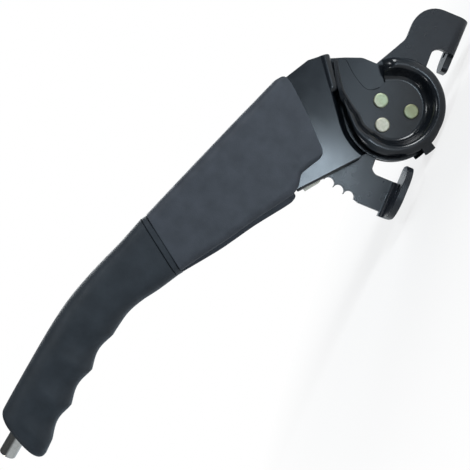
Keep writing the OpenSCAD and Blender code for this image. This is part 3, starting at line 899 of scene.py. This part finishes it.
class LEVER_OT_grip(bpy.types.Operator):
    """Makes the grip with its finger hollows and the end round the button"""

    bl_idname = "lever.grip"
    bl_label = "Grip"

    # Stations from the seam to the end: top point, low point, half width and squareness
    stations = (
        (120.57, 117.74, 144.47, 83.94, 16.5, 4.5),
        (137.0, 123.5, 156.5, 91.1, 16.2, 3.8),
        (152.0, 129.6, 167.3, 98.4, 15.8, 3.2),
        (167.0, 135.3, 177.3, 103.4, 15.5, 2.8),
        (182.0, 140.1, 187.8, 105.9, 15.2, 2.5),
        (197.0, 143.4, 201.3, 108.1, 15.2, 2.4),
        (214.0, 146.0, 219.0, 110.8, 15.2, 2.4),
        (240.0, 149.3, 246.6, 114.6, 15.2, 2.4),
        (254.5, 151.0, 267.5, 116.8, 15.2, 2.4),
        (260.6, 151.6, 277.6, 117.4, 15.2, 2.5))

    # Finger hollows: how pointed they are along and across the grip, and how they wrap and pinch its sides
    finger_start, finger_pitch, finger_count = 193.9, 25.2, 3
    along_power, across_power = 1.2, 1.4
    wrap_start, wrap_span, pinch = 0.45, 0.9, 0.07

    # End: length and rounding, and the bore with the widening and depth of its mouth's rings
    end_length, end_round = 4.5, 7.0
    bore = 6.0
    mouth = ((1.6, 0.0), (0.5, 0.1), (0.0, 0.7), (0.0, 9.0))

    def execute(self, context):
        deepest = context.scene.lever_sizes.finger_depth / MM
        rings = [self.ring(row, deepest) for row in between(self.stations, 10)]
        rings += self.end_rings()
        piece = smooth(new_piece("hand_grip", loft("hand_grip", rings)), 60)
        finish = skin_finish("grip_skin", context.scene.lever_finishes.grip, 0.5, 0.03, 0.55)
        dressed(piece, finish, "lever", "grip_skin", "grip")
        return {"FINISHED"}

    def hollow(self, x):
        """Share of the greatest depth that the hollows have under a point that far forward."""
        turns = (x - self.finger_start) / self.finger_pitch
        if not 0 < turns < self.finger_count:
            return 0.0
        return abs(math.sin(math.pi * turns)) ** self.along_power

    def ring(self, row, deepest=0.0, inset=0.0, ahead=0.0):
        """Ring at a station with hollows up to that deep, drawn in and moved ahead as asked."""
        top, low = Vector(row[0:2]), Vector(row[2:4])
        half, square = row[4:6]
        axis = (top - low).normalized()
        depth = deepest * self.hollow(low.x)
        top, low = top - inset * axis, low + inset * axis
        middle, reach = (top + low) / 2, (top - low) / 2
        points = []
        for sideways, share in rounded_outline(half - inset, reach.length, square):
            lift = depth * max(0.0, -share) ** self.across_power
            wrap = max(0.0, min(1.0, (self.wrap_start - share) / self.wrap_span))
            sideways *= 1 - self.pinch * depth * wrap * wrap * (3 - 2 * wrap)
            spot = middle + reach * share + lift * axis + ahead * unit(GRIP_SLOPE)
            points.append(place(spot.x, spot.y, sideways))
        return points

    def end_rings(self):
        """Rounded edge, end face and the bore round the button."""
        rings = []
        for angle in range(12, 91, 13):
            turn = math.radians(angle)
            inset, ahead = self.end_round * (1 - math.cos(turn)), self.end_length * math.sin(turn)
            rings.append(self.ring(self.stations[-1], inset=inset, ahead=ahead))
        face = rings[-1]
        for widening, depth in self.mouth:
            rings.append([self.to_bore(point, self.bore + widening, depth) for point in face])
        return rings

    def to_bore(self, point, radius, depth):
        """Point of the end face drawn in to the bore's circle, that deep."""
        start = place(*KNEE)
        top_x, top_z, low_x, low_z = self.stations[-1][:4]
        normal = Vector((top_z - low_z, 0, low_x - top_x)).normalized()
        centre = start + BUTTON_AXIS * ((point - start).dot(normal) / BUTTON_AXIS.dot(normal))
        outward = point - centre
        outward -= outward.dot(BUTTON_AXIS) * BUTTON_AXIS
        spot = centre + outward.normalized() * radius * MM
        spot += BUTTON_AXIS * ((centre - spot).dot(normal) / BUTTON_AXIS.dot(normal))
        return spot - BUTTON_AXIS * depth * MM


class LEVER_OT_sleeve(bpy.types.Operator):
    """Makes the sleeve over the arm with the keel under it, and the band at its front seam"""

    bl_idname = "lever.sleeve"
    bl_label = "Sleeve and band"

    half, taper = 17.0, 0.5
    shoulder, hem, tuck = 7.0, 5.0, 0.7
    edge_round, keel_round, band_round = 0.9, 0.6, 0.3

    # Keel: slope above level, half width, and the floor over it with its two heights over the wall's edge
    keel_slope, keel_half = 32.0, 9.5
    floor_inset, floor_low, floor_high = 4.0, 1.2, 5.0
    least_level = 0.2

    # Steps of a half section's flat wall and top, and how fast the rear edge's bow fades out forwards
    wall_steps, top_steps = 18, 4
    bow_power = 4

    # Upper and lower line of the side wall, rear edge from its lower corner up, and lower line of the keel
    tops = (
        (9.9, 72.5), (11.9, 74.3), (15.5, 75.9), (20.2, 77.8), (25.3, 79.8), (30.4, 81.8), (36.5, 84.3),
        (42.6, 86.7), (48.6, 89.1), (57.7, 92.6), (72.7, 98.4), (87.7, 104.2), (102.2, 109.7), (116.7, 115.2))
    lows = (
        (43.4, 30.6), (46.4, 31.3), (49.6, 33.2), (54.0, 35.6), (57.8, 37.5), (61.0, 37.4), (65.1, 36.5),
        (69.0, 36.9), (73.0, 38.4), (80.0, 43.0), (94.8, 53.1), (110.8, 63.0), (125.5, 73.0), (139.9, 82.5))
    rear_edge = (
        (43.4, 30.6), (41.2, 31.4), (38.7, 33.3), (32.5, 39.9), (25.6, 46.8), (20.1, 53.2), (13.5, 60.8),
        (9.8, 65.6), (8.6, 69.6), (9.9, 72.5))
    keel_line = (
        (70.2, 37.3), (71.8, 35.7), (74.8, 36.0), (79.4, 38.5), (97.1, 51.3), (109.6, 59.3), (120.7, 66.6),
        (140.4, 81.4))

    def execute(self, context):
        colours = context.scene.lever_finishes
        finish = skin_finish("sleeve_skin", colours.sleeve, 0.7, 0.035, 0.5)
        piece = sheet_piece("arm_sleeve", *self.skin(), context.scene.lever_sizes.sleeve_wall / MM)
        piece = smooth(softened(piece, self.edge_round, 3, 50), 40)
        dressed(piece, finish, "lever", "sleeve_skin", "sleeve")
        keel = softened(new_piece("sleeve_keel", self.keel("sleeve_keel")), self.keel_round, 3, 50)
        dressed(smooth(keel, 40), finish, "lever", "sleeve_skin")
        band = smooth(softened(merged_copy("seam_band", "front_band"), self.band_round, 2, 30), 30)
        dressed(band, skin_finish("band_skin", colours.grip, 0.5, 0.02, 0.5), "lever", "band", "seam_band")
        return {"FINISHED"}

    def arch(self, height):
        """Half section from the tucked lower edge over the shoulder, as shares of half width and height."""
        made = []
        for angle in range(0, 91, 15):
            turn = math.radians(angle)
            tucked = self.tuck * self.hem / self.half * (1 - math.sin(turn))
            made.append((1 - tucked, self.hem / height * (1 - math.cos(turn))))
        start, end = self.hem / height, 1 - self.shoulder / height
        steps = self.wall_steps
        made += [(1.0, start + (end - start) * i / steps) for i in range(1, steps + 1)]
        for angle in range(9, 91, 9):
            turn = math.radians(angle)
            made.append((
                1 - self.shoulder / self.half * (1 - math.cos(turn)),
                1 - self.shoulder / height * (1 - math.sin(turn))))
        flat = 1 - self.shoulder / self.half
        return made + [(flat * (1 - i / self.top_steps), 1.0) for i in range(1, self.top_steps + 1)]

    def skin(self):
        """Outer surface of the sleeve, open below, as points and faces."""
        rear = [Vector(spot) for spot in between(self.rear_edge, 8)]
        rows = between([(*top, *low) for top, low in zip(self.tops, self.lows)], 4)
        points, faces = [], []
        for i, row in enumerate(rows):
            part = i / (len(rows) - 1)
            top, low = Vector(row[:2]), Vector(row[2:])
            half = self.half - self.taper * part
            arch = self.arch((top - low).length)
            for hand, spots in ((1, arch), (-1, arch[-2::-1])):
                for across, share in spots:
                    bow = self.on_rear(rear, share) - rear[0].lerp(rear[-1], share)
                    spot = low.lerp(top, share) + bow * (1 - part) ** self.bow_power
                    points.append(place(spot.x, spot.y, hand * half * across))
            count = len(points) // (i + 1)
            if i:
                for k in range(count - 1):
                    a, b = (i - 1) * count + k, i * count + k
                    faces.append([a, a + 1, b + 1, b])
        return points, faces

    def on_rear(self, rear, share):
        """Point of the rear edge at that share of its height."""
        spot = share * (len(rear) - 1)
        first = min(int(spot), len(rear) - 2)
        return rear[first].lerp(rear[first + 1], spot - first)

    def keel(self, name):
        """Underside between the walls, with the narrow keel below it."""
        wide = self.half - self.floor_inset
        up = unit(self.keel_slope + 90)
        rings = []
        for x, z in between(self.keel_line, 4):
            base = Vector((x, z))
            level = self.wall_level(x)
            inner, edge = base + up * (level + self.floor_high), base + up * (level + self.floor_low)
            ring = [(inner, wide), (edge, wide), (edge, self.keel_half), (base, self.keel_half)]
            ring += [(spot, -side) for spot, side in ring[::-1]]
            rings.append([place(spot.x, spot.y, side) for spot, side in ring])
        return loft(name, rings)

    def wall_level(self, x):
        """Height of the side wall's lower edge over the keel's lower line, square to it."""
        gap = self.height_at(self.lows, x) - self.height_at(self.keel_line, x)
        return max(self.least_level, gap * math.cos(math.radians(self.keel_slope)))

    def height_at(self, line, x):
        """Height of a side-view line above that far forward."""
        for (x0, z0), (x1, z1) in zip(line, line[1:]):
            if x0 <= x <= x1:
                return z0 + (z1 - z0) * (x - x0) / (x1 - x0)
        return line[-1][1] if x > line[-1][0] else line[0][1]


class LEVER_OT_button(bpy.types.Operator):
    """Makes the plated release button"""

    bl_idname = "lever.button"
    bl_label = "Button"

    def execute(self, context):
        start = place(*KNEE)
        rear, front, radius = along_axis("button", start, BUTTON_AXIS)
        profile = [
            (1.0, rear), (radius - 0.4, rear), (radius, rear + 0.4), (radius, front - 1.1),
            (radius - 0.12, front - 0.55), (radius - 0.45, front - 0.15), (radius - 0.9, front),
            (radius - 1.3, front - 0.05), (0.5, front - 0.2)]
        piece = smooth(new_piece("release_button", turned("release_button", profile, start, BUTTON_AXIS, 96)))
        finish = metal_finish("button_plating", context.scene.lever_finishes.plating, 0.15, depth=0.0006)
        dressed(piece, finish, "rod", "plating", "button")
        return {"FINISHED"}


class LEVER_OT_spring(bpy.types.Operator):
    """Coils the return spring of the button"""

    bl_idname = "lever.spring"
    bl_label = "Return spring"

    turns = 7.0
    turn_sides, wire_sides = 28, 12

    def execute(self, context):
        start = place(*KNEE)
        rear, front, radius = along_axis("rod_spring", start, BUTTON_AXIS)
        finish = metal_finish("spring_steel", context.scene.lever_finishes.steel, 0.28)
        wire = context.scene.lever_sizes.spring_wire
        tree = NodeTree("coil")
        coil = tree.node(
            "GeometryNodeCurveSpiral", Resolution=self.turn_sides, Rotations=self.turns,
            Start_Radius=tree.value("Coil radius", "NodeSocketFloat", radius * MM - wire / 2),
            End_Radius=tree.entry.outputs["Coil radius"],
            Height=tree.value("Length", "NodeSocketFloat", (front - rear) * MM - wire))
        ring = tree.node(
            "GeometryNodeCurvePrimitiveCircle", Resolution=self.wire_sides,
            Radius=tree.value("Wire radius", "NodeSocketFloat", wire / 2))
        round_wire = tree.node(
            "GeometryNodeCurveToMesh", Curve=coil.outputs[0], Profile_Curve=ring.outputs[0], Fill_Caps=True)
        turn = BUTTON_AXIS.to_track_quat("Z", "Y").to_euler()
        moved = tree.node(
            "GeometryNodeTransform", Geometry=round_wire.outputs[0], Rotation=turn,
            Translation=start + BUTTON_AXIS * (rear * MM + wire / 2))
        tree.close(moved.outputs[0], finish)
        spring = tree.grow(new_piece("return_spring", bpy.data.meshes.new("return_spring")))
        dressed(smooth(spring, 60), finish, "lever", "bare_steel", "rod_spring")
        return {"FINISHED"}


class LEVER_OT_inner(bpy.types.Operator):
    """Gives the pieces that keep their CAD shape their finishes"""

    bl_idname = "lever.inner"
    bl_label = "Inner pieces"

    def execute(self, context):
        colours = context.scene.lever_finishes
        steel = metal_finish("inner_steel", colours.steel, 0.34)
        zinc = metal_finish("pawl_zinc", colours.zinc_pale, 0.5)
        pale = skin_finish("bush_plastic", colours.bush, 0.9, 0.01, 0.45)
        chosen = {"guide_bush": pale, "pawl": zinc}
        for name, node in frame["nodes"].items():
            if not node.hide_render:
                node.data.materials.clear()
                node.data.materials.append(chosen.get(name, steel))
        return {"FINISHED"}


class LEVER_PT_panel(bpy.types.Panel):
    """Lists the steps that dress the lever"""

    bl_label = "Parking brake lever"
    bl_idname = "LEVER_PT_panel"
    bl_space_type = "VIEW_3D"
    bl_region_type = "UI"
    bl_category = "Lever"

    def draw(self, context):
        for step in STEPS:
            self.layout.operator(step.bl_idname)


STEPS = (
    LEVER_OT_stage,
    LEVER_OT_bracket,
    LEVER_OT_cheeks,
    LEVER_OT_dishes,
    LEVER_OT_rivets,
    LEVER_OT_sleeve,
    LEVER_OT_grip,
    LEVER_OT_button,
    LEVER_OT_spring,
    LEVER_OT_inner,
)
CLASSES = (LeverFinishes, LeverSizes, LeverStudio, *STEPS, LEVER_PT_panel)


def register():
    for item in CLASSES:
        bpy.utils.register_class(item)
    bpy.types.Scene.lever_finishes = bpy.props.PointerProperty(type=LeverFinishes)
    bpy.types.Scene.lever_sizes = bpy.props.PointerProperty(type=LeverSizes)
    bpy.types.Scene.lever_studio = bpy.props.PointerProperty(type=LeverStudio)


def unregister():
    del bpy.types.Scene.lever_studio
    del bpy.types.Scene.lever_sizes
    del bpy.types.Scene.lever_finishes
    for item in reversed(CLASSES):
        bpy.utils.unregister_class(item)


def main():
    register()
    for step in STEPS:
        group, name = step.bl_idname.split(".")
        getattr(getattr(bpy.ops, group), name)()


if __name__ == "__main__":
    main()
